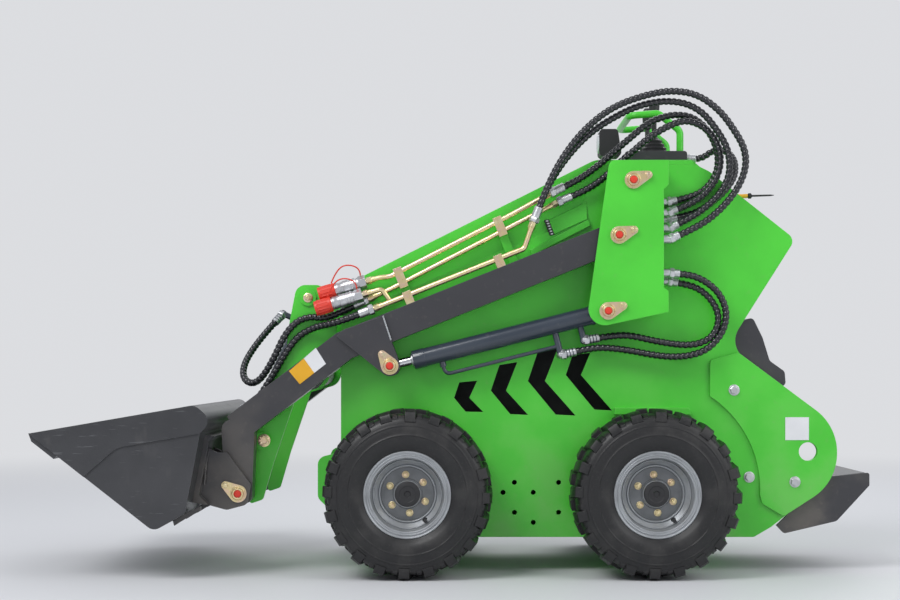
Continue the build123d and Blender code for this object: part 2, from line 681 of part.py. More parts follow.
# quick couplers on the front ends of the low and the top pipe, each with a dust cap
couplers = []
caps = []
for across, bend, run in (pipes["low"], pipes["top"]):
    (front_x, front_z), (next_x, next_z) = on_arm(*run[0]), on_arm(*run[1])
    aim = Vector(front_x - next_x, 0, front_z - next_z).normalized()
    start = Plane(origin=(front_x, -across, front_z), z_dir=aim)
    couplers.append(start * Cylinder(coupler_radius, coupler_length, align=FOOT))
    caps.append(start * Pos(0, 0, coupler_length) * Cylinder(cap_radius, cap_length, align=FOOT))
parts["dust_caps"] = Compound(caps)

# ---------------------------------------------------------------- hoses on the left side
fittings = {"couplers": couplers, "web_fittings": [], "lift_barrel_left": [], "tilt_barrel": []}


def step_from(start, goal, distance):
    """The (x, y, z) place at a distance from start on the way to goal."""
    way = (Vector(*goal) - Vector(*start)).normalized() * distance
    return (start[0] + way.X, start[1] + way.Y, start[2] + way.Z)


def sleeve(owner, start, goal):
    """Adds a ferrule from a place towards the next one to a part, and returns where its hose begins."""
    way = (Vector(*goal) - Vector(*start)).normalized()
    length = web_ferrule_length if owner == "web_fittings" else ferrule_length
    solid = Plane(origin=start, z_dir=way) * Cylinder(ferrule_radius, length, align=FOOT)
    for pipe in pipe_solids:
        solid -= pipe
    fittings[owner].append(solid)
    return step_from(start, goal, length)


def hose(name, first_owner, points, last_owner):
    """A hose from one ferrule to another; each bend takes its radius from the shorter run beside it."""
    course = [sleeve(first_owner, points[0], points[1])] + points[1:-1]
    course.append(sleeve(last_owner, points[-1], points[-2]))
    places = [Vector(*point) for point in course]
    runs = [after - before for before, after in zip(places, places[1:])]
    bends = []
    for before, after in zip(runs, runs[1:]):
        half = radians(before.get_angle(after)) / 2
        bends.append(0.45 * min(before.length, after.length) / tan(half))
    path = FilletPolyline(*course, radius=bends)
    start = Plane(origin=path @ 0, z_dir=path % 0)
    parts[name] = sweep(start * Circle(hose_radius), path=path)
    print(name, "length", round(path.length, 1), "smallest bend radius", round(min(bends), 1))


def bulkhead(y, z):
    """A fitting through the tower's web, and the place at its rear end."""
    start = Plane(origin=(web_rear_x, y, z), z_dir=(1, 0, 0))
    fittings["web_fittings"].append(start * Cylinder(ferrule_radius, bulkhead_length, align=FOOT))
    place = (web_rear_x + bulkhead_length, y, z)
    fittings["web_fittings"].append(Pos(*place) * Sphere(ferrule_radius))
    return place


def across(points, first_y, last_y):
    """(x, z) places made (x, y, z), with y changing evenly over the first half from the first to the last."""
    shares = [min(1, 2 * (i + 1) / len(points)) for i in range(len(points))]
    return [(x, first_y + share * (last_y - first_y), z) for share, (x, z) in zip(shares, points)]


# name, pipe it leaves, distance across at the tower, height on the web, (x, z) places between
arm_hoses = [
    ("hose_outer", "outer", -arm_outer_y + 3, 924, [
        (241.5, 1072), (283, 1152), (344, 1230), (422, 1291), (516, 1324), (585.5, 1335), (655, 1324),
        (716, 1280), (757, 1224), (785, 1174), (789, 1122), (766, 1064), (721, 1008), (661, 960)]),
    ("hose_second", "low", -arm_inner_y - 45, 955, [
        (238, 1062), (277, 1129), (327, 1190), (377, 1234), (432, 1267), (476, 1289), (521, 1303),
        (565, 1309), (609, 1306), (643, 1295), (676, 1273), (703, 1240), (726, 1206), (742, 1173),
        (748, 1129), (742, 1090), (718, 1049), (684, 1017), (645, 988)]),
    ("hose_top", "top", -arm_inner_y - 2, 1032, [
        (335, 1096), (391, 1138), (435, 1177), (480, 1216), (524, 1253), (569, 1272), (608, 1278),
        (647, 1272), (681, 1248), (708, 1210), (722, 1164), (720, 1120), (698, 1080), (660, 1050)]),
    ("hose_middle", "middle", -arm_inner_y - 23, 1000, [
        (356, 1067), (401, 1098), (445, 1142), (479, 1170), (523, 1209), (568, 1237), (612, 1256),
        (645, 1256), (684, 1237), (712, 1204), (726, 1160), (722, 1116), (699, 1072), (657, 1032)]),
]
for name, pipe, tower_y, height, run in arm_hoses:
    start = pipe_rears[pipe]
    end = bulkhead(tower_y, height)
    hose(name, "couplers", [start] + across(run, start[1], end[1]) + [end], "web_fittings")

# lift hoses: place across and height on the web, port on the barrel, (x, z) places between
lift_hoses = [
    ("hose_lift_lower", -arm_outer_y + 15, 832, lift_port_feed, [
        (640, 827), (681, 809), (717, 778), (738, 734), (736, 688), (714, 647), (680, 617), (636, 603),
        (586, 600), (533, 606), (478, 617), (420, 625), (370, 626)]),
    ("hose_lift_upper", -arm_inner_y - 25, 811, lift_port_low, [
        (642, 800), (677, 781), (704, 752), (719, 716), (714, 679), (693, 651), (660, 636), (623, 633),
        (579, 638), (529, 647), (479, 659), (434, 661)]),
]
for name, web_y, height, port, run in lift_hoses:
    start = bulkhead(web_y, height)
    end = at(lift_frame, *port)
    hose(name, "web_fittings", [start] + across(run, start[1], end[1]) + [end], "lift_barrel_left")

# tilt hoses, from the barrel's ports over the arm to the pipes' front ends
base_port, gland_port = [at(tilt_frame, along, -reach) for along, reach in tilt_ports]
arm_y = -arm_inner_y
hose("hose_tilt_base", "tilt_barrel", [
    base_port, (-556, -40, 687), (-590, -82, 640), (-615, -130, 593), (-620, -172, 557),
    (-608, arm_y + 76, 533), (-583, arm_y + 52, 525), (-556, arm_y + 34, 542), (-523, arm_y + 19, 594),
    (-493, arm_y + 13, 659), (-459, arm_y + 13, 700), (-419, arm_y + 9, 714), (-380, arm_y + 3, 708),
    (-340, arm_y - 7, 721), pipe_fronts["middle"],
], "couplers")
hose("hose_tilt_gland", "tilt_barrel", [
    gland_port, (-640, -85, 445), (-641, -130, 430), (-635, -180, 425), (-622, arm_y + 50, 432),
    (-589, arm_y + 20, 452), (-549, arm_y + 13, 508), (-512, arm_y + 13, 570), (-487, arm_y + 13, 614),
    (-453, arm_y + 11, 659), (-413, arm_y + 3, 681), (-375, arm_y - 20, 690), (-330, arm_y - 50, 699),
    pipe_fronts["outer"],
], "couplers")

# ---------------------------------------------------------------- operator's end
step_side = face([
    (888, 128, 0), (910, 105, 10), (1058, 140, 20), (step_rear_x, 240, 8), (step_rear_x, step_top_z, 6),
    (1050, step_top_z - 10, 0), (1030, step_top_z - 12, 0),
])
top_face = face([
    (880, step_top_z - 22, 0), (1050, step_top_z - 22, 0), (step_rear_x - 12, step_top_z - 10, 0),
    (step_rear_x - 12, step_top_z, 0), (1050, step_top_z - 10, 0), (880, step_top_z - 10, 0),
])
step = slab(step_side, -step_half_width, -step_half_width + step_sheet)
step += mirrored(step)
step += slab(top_face, -step_half_width + step_sheet, step_half_width - step_sheet)
parts["step"] = step

# console on the deck, with a bellows lever, a hand rail and a work lamp
console_top_z = deck_top_z + 36
console_front_x = 472.0
console_rear_x = 650.0
console_half_width = body_half_width - 92
console = face([
    (console_front_x, deck_top_z, 0), (console_front_x, console_top_z, 10),
    (console_rear_x, console_top_z, 8), (console_rear_x, deck_top_z, 0),
])
parts["console"] = slab(console, -console_half_width, console_half_width)
lever_x = console_rear_x - 84
lever_rings = 4
lever_outline = [(0, 0), (42, 0)]
for ring in range(lever_rings):
    lever_outline += [(42 - 6 * ring, 6 + 11 * ring), (34 - 6 * ring, 11 + 11 * ring)]
lever_outline += [(7, 52), (7, 96), (13, 100), (16, 148), (9, 160), (0, 160)]
lever_solid = revolve(Plane.XZ * make_face(Polyline(*lever_outline, close=True)), Axis.Z)
parts["control_levers"] = Compound([Pos(lever_x, y, console_top_z) * lever_solid for y in (-85, 85)])
rail_y = console_half_width - 20
rail_top_z = console_top_z + 110
rail_post_x = console_rear_x - 18
rail_front_x = console_front_x + 16
rail_radius = 10.0
left_rail = [
    (rail_post_x, -rail_y, console_top_z), (rail_post_x, -rail_y, rail_top_z - 50),
    (rail_post_x - 62, -rail_y, rail_top_z), (rail_front_x, -rail_y, rail_top_z - 6),
]
right_rail = [(x, -y, z) for x, y, z in reversed(left_rail)]
parts["hand_rail"] = tube(left_rail + right_rail, rail_radius, rail_radius * 2.4)
lamp_front_x = console_front_x - 74
lamp_low_z = deck_top_z + 18
lamp_y = -console_half_width + 15
lamp = slab(face([
    (lamp_front_x, lamp_low_z, 12), (lamp_front_x, lamp_low_z + 78, 10),
    (lamp_front_x + 52, lamp_low_z + 78, 10), (lamp_front_x + 64, lamp_low_z, 12),
]), lamp_y - 35, lamp_y + 35)
lamp += slab(face([
    (lamp_front_x + 17, deck_top_z, 0), (lamp_front_x + 30, deck_top_z, 0),
    (lamp_front_x + 42, lamp_low_z + 8, 0), (lamp_front_x + 17, lamp_low_z + 8, 0),
]), lamp_y - 15, lamp_y + 15)
parts["work_lamp"] = lamp

# hose from the console down to the web
console_port = (console_rear_x, -console_half_width + 40, deck_top_z + 18)
hose_y = -arm_inner_y
hose("hose_console", "web_fittings", [
    console_port, (console_rear_x + 70, console_port[1], console_port[2]),
    (758, console_port[1] - 30, 1170), (776, console_port[1] - 76, 1153), (778, hose_y + 31, 1128),
    (768, hose_y + 4, 1094), (736, hose_y - 1, 1059), (694, hose_y - 2, 1023), (648, hose_y - 2, 997),
    bulkhead(hose_y - 2, 985),
], "web_fittings")
parts["couplers"] = Compound(fittings["couplers"])
parts["web_fittings"] = Compound(fittings["web_fittings"])
for owner in ("lift_barrel_left", "tilt_barrel"):
    for solid in fittings[owner]:
        parts[owner] += solid

os.makedirs("parts", exist_ok=True)
for name, solid in parts.items():
    export_step(solid, "parts/" + name + ".step")
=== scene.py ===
import math
import bmesh
import bpy
from mathutils import Matrix, Vector


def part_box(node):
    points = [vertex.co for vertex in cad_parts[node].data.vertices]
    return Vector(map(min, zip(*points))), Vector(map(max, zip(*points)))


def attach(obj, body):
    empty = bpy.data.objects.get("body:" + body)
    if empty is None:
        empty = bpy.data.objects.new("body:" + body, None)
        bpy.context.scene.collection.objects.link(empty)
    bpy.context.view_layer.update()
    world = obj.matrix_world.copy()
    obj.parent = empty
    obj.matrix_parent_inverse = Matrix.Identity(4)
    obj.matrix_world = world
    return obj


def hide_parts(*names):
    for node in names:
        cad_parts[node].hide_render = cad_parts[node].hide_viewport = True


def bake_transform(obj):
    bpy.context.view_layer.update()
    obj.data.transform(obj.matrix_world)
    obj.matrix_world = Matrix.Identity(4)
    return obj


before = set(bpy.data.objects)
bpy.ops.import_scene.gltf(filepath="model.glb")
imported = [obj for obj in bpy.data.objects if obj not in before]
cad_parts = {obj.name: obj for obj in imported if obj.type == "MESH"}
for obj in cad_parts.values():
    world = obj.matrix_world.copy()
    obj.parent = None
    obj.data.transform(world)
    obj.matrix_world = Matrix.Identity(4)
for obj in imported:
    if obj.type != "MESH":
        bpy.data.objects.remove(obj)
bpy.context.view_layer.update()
MM = 0.001


# ---------------------------------------------------------------- shader arithmetic
class Value:
    """One shader socket that takes part in plain arithmetic."""

    def __init__(self, finish, socket):
        self.finish = finish
        self.socket = socket

    def math(self, operation, *others, clamp=False):
        sockets = dict(enumerate((self,) + others))
        return self.finish.make("ShaderNodeMath", {"operation": operation, "use_clamp": clamp}, sockets)[0]

    def __add__(self, other):
        return self.math("ADD", other)

    def __sub__(self, other):
        return self.math("SUBTRACT", other)

    def __rsub__(self, other):
        return self.math("MULTIPLY", -1) + other

    def __mul__(self, other):
        return self.math("MULTIPLY", other)

    def __truediv__(self, other):
        return self.math("DIVIDE", other)

    __radd__ = __add__
    __rmul__ = __mul__

    def above(self, low, high):
        """0 below low, 1 over high, and smooth between them; the other way round where low is over high."""
        share = self.math("SUBTRACT", low).math("DIVIDE", high - low, clamp=True)
        return share * share * (3 - 2 * share)


class Made:
    """A node's outputs, by name or number."""

    def __init__(self, finish, node):
        self.finish = finish
        self.node = node

    def __getitem__(self, key):
        return Value(self.finish, self.node.outputs[key])


class Finish:
    """A material with one Principled shader. place is a point on the piece as it stands at rest."""

    def __init__(self, name, colour, roughness, **settings):
        self.material = bpy.data.materials.new(name)
        self.material.use_nodes = True
        self.tree = self.material.node_tree
        self.shader = self.tree.nodes["Principled BSDF"]
        self.material.diffuse_color = (*colour, 1)
        self.set("Base Color", (*colour, 1))
        self.set("Roughness", roughness)
        for key, value in settings.items():
            self.set(key.replace("_", " "), value)
        self.place = self.make("ShaderNodeTexCoord", {}, {})["Object"]

    def feed(self, socket, value):
        if isinstance(value, Value):
            self.tree.links.new(value.socket, socket)
        else:
            socket.default_value = value

    def set(self, name, value):
        self.feed(self.shader.inputs[name], value)

    def make(self, kind, settings, sockets):
        node = self.tree.nodes.new(kind)
        for key, value in settings.items():
            if key == "stops":
                ramp = node.color_ramp.elements
                while len(ramp) < len(value):
                    ramp.new(0.5)
                for stop, (position, colour) in zip(ramp, value):
                    stop.position = position
                    stop.color = (*colour, 1)
            else:
                setattr(node, key, value)
        for key, value in sockets.items():
            self.feed(node.inputs[key], value)
        return Made(self, node)

    def noise(self, scale, detail=3.0, stretch=(1, 1, 1)):
        """Cloudy values about 0.5; scale is in bumps to the metre."""
        moved = self.make("ShaderNodeVectorMath", {"operation": "MULTIPLY"}, {0: self.place, 1: stretch})[0]
        return self.make("ShaderNodeTexNoise", {}, {"Vector": moved, "Scale": scale, "Detail": detail})[0]

    def mix(self, share, low, high):
        """A colour between two colours."""
        low = low if isinstance(low, Value) else (*low, 1)
        high = high if isinstance(high, Value) else (*high, 1)
        return self.make("ShaderNodeMix", {"data_type": "RGBA"}, {0: share, 6: low, 7: high})[2]

    def axes(self):
        """The resting place as three values."""
        parts = self.make("ShaderNodeSeparateXYZ", {}, {0: self.place})
        return parts[0], parts[1], parts[2]

    def soft_edge(self, radius):
        """Normals rounded over the edges, and a mask of those edges."""
        rounded = self.make("ShaderNodeBevel", {"samples": 4}, {"Radius": radius})[0]
        flat = self.make("ShaderNodeNewGeometry", {}, {})["True Normal"]
        same = self.make("ShaderNodeVectorMath", {"operation": "DOT_PRODUCT"}, {0: rounded, 1: flat})["Value"]
        return rounded, same.above(0.985, 0.90)

    def bump(self, height, distance, strength=0.5, over=None):
        """Small relief; distance is its depth in metres."""
        sockets = {"Height": height, "Distance": distance, "Strength": strength}
        if over is not None:
            sockets["Normal"] = over
        self.set("Normal", self.make("ShaderNodeBump", {}, sockets)["Normal"])


def powder_coat(name, colour, rubbed_and_highlit, roughness, dust=0.25):
    """Sprayed paint: fine orange peel, edges painted a little lighter as rubbed paint and as a painted
    highlight, and dust that gathers low down.
    """
    coat = Finish(name, colour, roughness, Coat_Weight=0.25, Coat_Roughness=0.12)
    rounded, edge = coat.soft_edge(0.0016)
    cloud = coat.noise(7, 4)
    fine = coat.noise(60, 3)
    height = coat.axes()[2]
    dirt = height.above(0.75, 0.05) * cloud.above(0.38, 0.68) * dust + fine.above(0.60, 0.75) * dust * 0.25
    tone = coat.mix(cloud.above(0.3, 0.7), [c * 0.93 for c in colour], [min(1, c * 1.07) for c in colour])
    # edges mixed towards a lighter colour: partly rubbed paint, partly a painted highlight
    tone = coat.mix(edge * 0.55, tone, rubbed_and_highlit)
    coat.set("Base Color", coat.mix(dirt, tone, (0.32, 0.28, 0.22)))
    coat.set("Roughness", roughness + cloud * 0.08 + dirt * 0.4)
    coat.bump(coat.noise(420, 2) + fine * 0.6, 0.0003, 0.22, rounded)
    return coat


green_paint = powder_coat("green_paint", (0.070, 0.60, 0.036), (0.26, 0.80, 0.18), 0.30)
green_paint.set("Coat Weight", 0.12)
dark_paint = powder_coat("dark_paint", (0.036, 0.036, 0.042), (0.13, 0.135, 0.145), 0.34)
cylinder_paint = powder_coat("cylinder_paint", (0.034, 0.046, 0.066), (0.12, 0.15, 0.19), 0.18)


def scuffed_bucket():
    """Bucket paint: long faint scratches along the floor and sides, and bare bright metal at the lip."""
    coat = Finish("bucket_paint", (0.052, 0.054, 0.060), 0.38, Coat_Weight=0.15, Coat_Roughness=0.2)
    rounded, edge = coat.soft_edge(0.0018)
    cloud = coat.noise(6, 5)
    scratch = coat.noise(30, 6, (0.6, 5, 7)).above(0.64, 0.70)
    smear = coat.noise(9, 4, (3, 0.5, 1)).above(0.58, 0.80)
    tone = coat.mix(cloud.above(0.3, 0.7), (0.030, 0.031, 0.035), (0.044, 0.045, 0.050))
    tone = coat.mix(scratch * 0.35 + edge * 0.5, tone, (0.16, 0.165, 0.175))
    coat.set("Base Color", coat.mix(smear * 0.25, tone, (0.13, 0.125, 0.12)))
    coat.set("Roughness", 0.36 + cloud * 0.1 + smear * 0.2)
    coat.bump(coat.noise(380, 2) - scratch * 0.7, 0.0004, 0.25, rounded)
    return coat


bucket_paint = scuffed_bucket()


def zinc_gold():
    """Yellow passivated zinc, which shifts between gold, rose and pale green, with a painted highlight in
    pale cream along its edges.
    """
    plate = Finish("gold_zinc", (0.86, 0.72, 0.42), 0.28, Metallic=1.0)
    shift = plate.noise(32, 3)
    ramp = [
        (0.3, (0.92, 0.80, 0.50)), (0.48, (0.86, 0.70, 0.38)), (0.6, (0.88, 0.64, 0.46)),
        (0.72, (0.76, 0.76, 0.48)),
    ]
    tone = plate.make("ShaderNodeValToRGB", {"stops": ramp}, {0: shift})[0]
    rounded, edge = plate.soft_edge(0.0008)
    # edges mixed towards pale cream: painted highlight
    plate.set("Base Color", plate.mix(edge * 0.8, tone, (0.94, 0.92, 0.84)))
    plate.set("Roughness", 0.20 + plate.noise(90, 3) * 0.2)
    plate.bump(plate.noise(500, 2), 0.0002, 0.2, rounded)
    return plate


gold_zinc = zinc_gold()


def plated(name, colour, roughness, grain, metal=1.0):
    """Plated or machined steel with a faint grain."""
    steel = Finish(name, colour, roughness, Metallic=metal)
    rounded, _ = steel.soft_edge(0.0008)
    cloud = steel.noise(24, 3)
    steel.set("Base Color", steel.mix(cloud.above(0.35, 0.7), colour, [c * 0.82 for c in colour]))
    steel.set("Roughness", roughness + cloud * grain)
    steel.bump(steel.noise(700, 2), 0.0001, 0.15, rounded)
    return steel


chromed = plated("chromed_rod", (0.80, 0.81, 0.83), 0.10, 0.06)
zinc_bright = plated("bright_zinc", (0.66, 0.67, 0.69), 0.28, 0.22)
black_steel = plated("black_steel", (0.030, 0.030, 0.033), 0.38, 0.2, 0.35)
engine_iron = plated("engine_iron", (0.045, 0.045, 0.048), 0.55, 0.25, 0.5)


def wheel_silver(name, shade):
    """Silver wheel paint, dull where road dirt has dried on it."""
    paint = Finish(name, (0.40 * shade, 0.42 * shade, 0.44 * shade), 0.38, Metallic=0.55, Coat_Weight=0.2)
    rounded, edge = paint.soft_edge(0.0012)
    cloud = paint.noise(18, 4)
    pale, dull = (0.42, 0.44, 0.46), (0.31, 0.325, 0.34)
    tone = paint.mix(cloud.above(0.35, 0.72), [c * shade for c in pale], [c * shade for c in dull])
    paint.set("Base Color", paint.mix(edge * 0.5, tone, (0.58, 0.60, 0.62)))
    paint.set("Roughness", 0.30 + cloud * 0.22)
    paint.bump(paint.noise(300, 2), 0.0002, 0.2, rounded)
    return paint


wheel_paint = wheel_silver("wheel_silver", 1.0)
disc_silver = wheel_silver("disc_silver", 0.5)


def plastic(name, colour, roughness, grain=0.2):
    """Moulded plastic with a fine spark-eroded grain."""
    skin = Finish(name, colour, roughness)
    cloud = skin.noise(14, 3)
    skin.set("Base Color", skin.mix(cloud, [c * 0.9 for c in colour], [min(1, c * 1.15) for c in colour]))
    skin.set("Roughness", roughness + cloud * 0.12)
    rounded, _ = skin.soft_edge(0.0010)
    skin.bump(skin.noise(900, 1), 0.0003, grain, rounded)
    return skin


black_plastic = plastic("black_plastic", (0.020, 0.020, 0.022), 0.42)
red_plastic = plastic("red_plastic", (0.70, 0.040, 0.020), 0.36)
white_label = plastic("white_label", (0.72, 0.73, 0.75), 0.34, 0.04)
yellow_label = plastic("yellow_label", (0.74, 0.38, 0.015), 0.34, 0.04)
lamp_lens = Finish("lamp_lens", (0.62, 0.65, 0.68), 0.12, Coat_Weight=0.8)


def tyre_compound():
    """Black rubber, greyed by dust on the lugs' faces and in the rings of the wall."""
    rubber = Finish("tyre_rubber", (0.024, 0.024, 0.025), 0.56)
    cloud = rubber.noise(16, 4)
    speck = rubber.noise(170, 3)
    dust = cloud.above(0.45, 0.72) * 0.16 + speck.above(0.55, 0.75) * 0.12
    rubber.set("Base Color", rubber.mix(dust, (0.011, 0.011, 0.012), (0.10, 0.095, 0.09)))
    rubber.set("Roughness", 0.34 + cloud * 0.16 + dust * 0.5)
    rounded, _ = rubber.soft_edge(0.0018)
    rubber.bump(speck + rubber.noise(600, 2) * 0.4, 0.0005, 0.35, rounded)
    return rubber


tyre_rubber = tyre_compound()


def hose_skin():
    """Black hose guard, slightly shiny, with lint and dust."""
    skin = Finish("hose_rubber", (0.010, 0.011, 0.014), 0.30, Coat_Weight=0.35, Coat_Roughness=0.16)
    cloud = skin.noise(40, 3)
    skin.set("Base Color", skin.mix(cloud.above(0.55, 0.8) * 0.2, (0.009, 0.010, 0.014),
                                    (0.07, 0.072, 0.078)))
    skin.set("Roughness", 0.18 + cloud * 0.2)
    skin.bump(skin.noise(500, 2), 0.0002, 0.25)
    return skin


hose_rubber = hose_skin()


# ---------------------------------------------------------------- pieces
class Piece:
    """Geometry in millimetres, gathered from simple shapes and placed as one object."""

    def __init__(self):
        self.points = []
        self.faces = []

    def add(self, points, faces):
        start = len(self.points)
        self.points += [tuple(p) for p in points]
        self.faces += [tuple(start + i for i in f) for f in faces]
        return self

    def turned(self, outline, at, aim, sides=32, turn=0.0):
        """A closed form turned about the line from at along aim, from (distance, radius) points."""
        aim = Vector(aim).normalized()
        across = aim.orthogonal().normalized()
        if abs(aim.y) > 0.9:
            across = Vector((0, 0, 1))
        other = aim.cross(across)
        points = []
        faces = []
        for distance, radius in outline:
            for i in range(sides):
                angle = 2 * math.pi * i / sides + turn
                out = across * math.cos(angle) + other * math.sin(angle)
                points.append(Vector(at) + aim * distance + out * radius)
        rings = len(outline)
        for r in range(rings - 1):
            for i in range(sides):
                j = (i + 1) % sides
                faces.append((r * sides + i, r * sides + j, (r + 1) * sides + j, (r + 1) * sides + i))
        if outline[0] == outline[-1]:
            return self.add(points[:-sides], [tuple(k % ((rings - 1) * sides) for k in f) for f in faces])
        faces.append(tuple(reversed(range(sides))))
        faces.append(tuple((rings - 1) * sides + i for i in range(sides)))
        return self.add(points, faces)

    def tube(self, path, radius, sides=12, ridge=0.0, pitch=1.0):
        """A round bar along a path, with a spiral ridge where ridge is over 0."""
        path = [Vector(p) for p in path]
        points = []
        faces = []
        along = 0.0
        side = None
        for i, here in enumerate(path):
            ahead = (path[min(i + 1, len(path) - 1)] - path[max(i - 1, 0)]).normalized()
            if side is None:
                side = ahead.orthogonal().normalized()
            side = (side - ahead * side.dot(ahead)).normalized()
            other = ahead.cross(side)
            along += (here - path[i - 1]).length if i else 0
            for k in range(sides):
                angle = 2 * math.pi * k / sides
                wave = min(1, 0.7 + 1.7 * math.cos(2 * math.pi * along / pitch - angle)) if ridge else 0
                out = side * math.cos(angle) + other * math.sin(angle)
                points.append(here + out * (radius + ridge * wave))
        for i in range(len(path) - 1):
            for k in range(sides):
                m = (k + 1) % sides
                faces.append((i * sides + k, i * sides + m, (i + 1) * sides + m, (i + 1) * sides + k))
        faces.append(tuple(reversed(range(sides))))
        faces.append(tuple((len(path) - 1) * sides + k for k in range(sides)))
        return self.add(points, faces)

    def prism(self, corners, low, high):
        """An (x, z) outline made solid between two places across the machine."""
        n = len(corners)
        points = [(x, low, z) for x, z in corners] + [(x, high, z) for x, z in corners]
        faces = [(i, (i + 1) % n, n + (i + 1) % n, n + i) for i in range(n)]
        faces += [tuple(reversed(range(n))), tuple(range(n, 2 * n))]
        return self.add(points, faces)

    def mirrored(self):
        """The same again on the other side of the machine."""
        n = len(self.points)
        self.points += [(x, -y, z) for x, y, z in self.points]
        self.faces += [tuple(reversed([n + i for i in f])) for f in self.faces]
        return self

    def object(self, name, finish, bevel=0.0, sharp=35):
        mesh = bpy.data.meshes.new(name)
        mesh.from_pydata([[c * MM for c in p] for p in self.points], [], self.faces)
        mesh.validate()
        tidy = bmesh_of(mesh)
        tidy.to_mesh(mesh)
        tidy.free()
        mesh.materials.append(finish.material)
        mesh.set_sharp_from_angle(angle=math.radians(sharp))
        made = bpy.data.objects.new(name, mesh)
        bpy.context.scene.collection.objects.link(made)
        if bevel:
            cut = made.modifiers.new("edges", "BEVEL")
            cut.width = bevel * MM
            cut.segments = 2
            cut.limit_method = "ANGLE"
            cut.angle_limit = math.radians(sharp)
            cut.harden_normals = True
        return made

    def place(self, name, body, finish, slot, bevel=0.0, sharp=35):
        made = self.object(name, finish, bevel, sharp)
        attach(made, body)
        return made


def bmesh_of(mesh):
    """The mesh with every face turned outwards."""
    work = bmesh.new()
    work.from_mesh(mesh)
    bmesh.ops.recalc_face_normals(work, faces=work.faces)
    for face in work.faces:
        face.smooth = True
    return work


def dress(finish, *nodes):
    """Gives CAD nodes their finish."""
    for node in nodes:
        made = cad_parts[node]
        made.data.materials.clear()
        made.data.materials.append(finish.material)


dress(green_paint, "side_plate_left", "side_plate_right", "hood", "rear_cover", "tower_left", "tower_right",
      "lever_plates", "tail_plate_left", "tail_plate_right", "floor_pan", "front_panel", "hand_rail",
      "pipe_brackets", "tilt_shaft")
dress(dark_paint, "arm_left", "arm_right", "cross_tube", "quick_attach", "step", "console", "rear_tank")
dress(bucket_paint, "bucket_shell", "bucket_blade", "side_cutters")
dress(cylinder_paint, "lift_barrel_left", "lift_barrel_right", "tilt_barrel")
dress(chromed, "lift_rod_left", "lift_rod_right", "tilt_rod")
dress(zinc_bright, "couplers", "web_fittings")
dress(gold_zinc, "tower_pins", "lift_pins", "bucket_pins", "boom_pipes", "pipe_clamps")
dress(engine_iron, "engine", "wheel_motors")
dress(black_plastic, "control_levers", "work_lamp")
dress(red_plastic, "dust_caps")
wheel_corners = ("front_left", "front_right", "rear_left", "rear_right")
for corner in wheel_corners:
    dress(wheel_paint, "rim_" + corner)

# ---------------------------------------------------------------- tyres
tyre_radius = 230.0
lug_count = 20
# distance out from the wheel's middle and radius, from the inner bead to the tread's middle
wall = [
    (79, 104), (80, 110), (80, 116), (84, 118.5), (88, 118), (90, 121), (96, 127), (100.5, 135),
    (103.5, 145), (105, 154), (105.2, 158), (106.4, 159.5), (106.4, 161.5), (105.4, 163), (105, 169),
    (103.6, 178), (102.2, 183), (103, 185), (102.6, 187.5), (100.6, 189), (98.5, 197), (95, 204),
    (89, 210), (80, 214), (66, 216), (40, 217), (0, 217),
]
tread = Piece()
outline = wall + [(-x, r) for x, r in reversed(wall[:-1])] + [wall[0]]
tread.turned(outline, (0, 0, 0), (0, 1, 0), 120)


def lug(piece, angle, side, steps, half_foot, half_top, sweep):
    """One tread lug: (across, foot radius, top radius, skew) steps, thick at the foot and thin at the top."""
    points = []
    faces = []
    for across, foot, top, skew in steps:
        for radius, half in ((foot, half_foot), (top, half_top)):
            for way in (-1, 1):
                swing = angle + (way * half + skew * sweep) / tyre_radius
                points.append((radius * math.sin(swing), side * across, radius * math.cos(swing)))
    for k in range(len(steps) - 1):
        a, b = 4 * k, 4 * (k + 1)
        faces += [(a, b, b + 1, a + 1), (a + 2, a + 3, b + 3, b + 2), (a, a + 2, b + 2, b),
                  (a + 1, b + 1, b + 3, a + 3)]
    last = 4 * (len(steps) - 1)
    faces += [(0, 1, 3, 2), (last, last + 2, last + 3, last + 1)]
    piece.add(points, faces)


long_lug = [(3, 214, 229.4, 0), (26, 214, 230, 0.5), (52, 213, 230, 0.9), (78, 211, 228.5, 1),
            (93, 205, 222, 1), (101, 196, 205, 1)]
worn_lug = [(a, f, t - 0.6, s) for a, f, t, s in long_lug[:-1]] + [(98, 201, 211, 1)]
terrace = [(62, 212, 219.5, 0), (84, 208, 216.5, 0), (95, 201, 208.5, 0)]
for n in range(lug_count):
    for side, phase in ((1, 0.0), (-1, 0.5)):
        at = 2 * math.pi * (n + phase) / lug_count
        steps = long_lug if n % 2 == 0 else worn_lug
        lug(tread, at, side, steps, 18.5, 14.5, -9)
        lug(tread, at + math.pi / lug_count, side, terrace, 10, 7.5, -9)
tyre = tread.object("tyre", tyre_rubber, 1.6, 30)


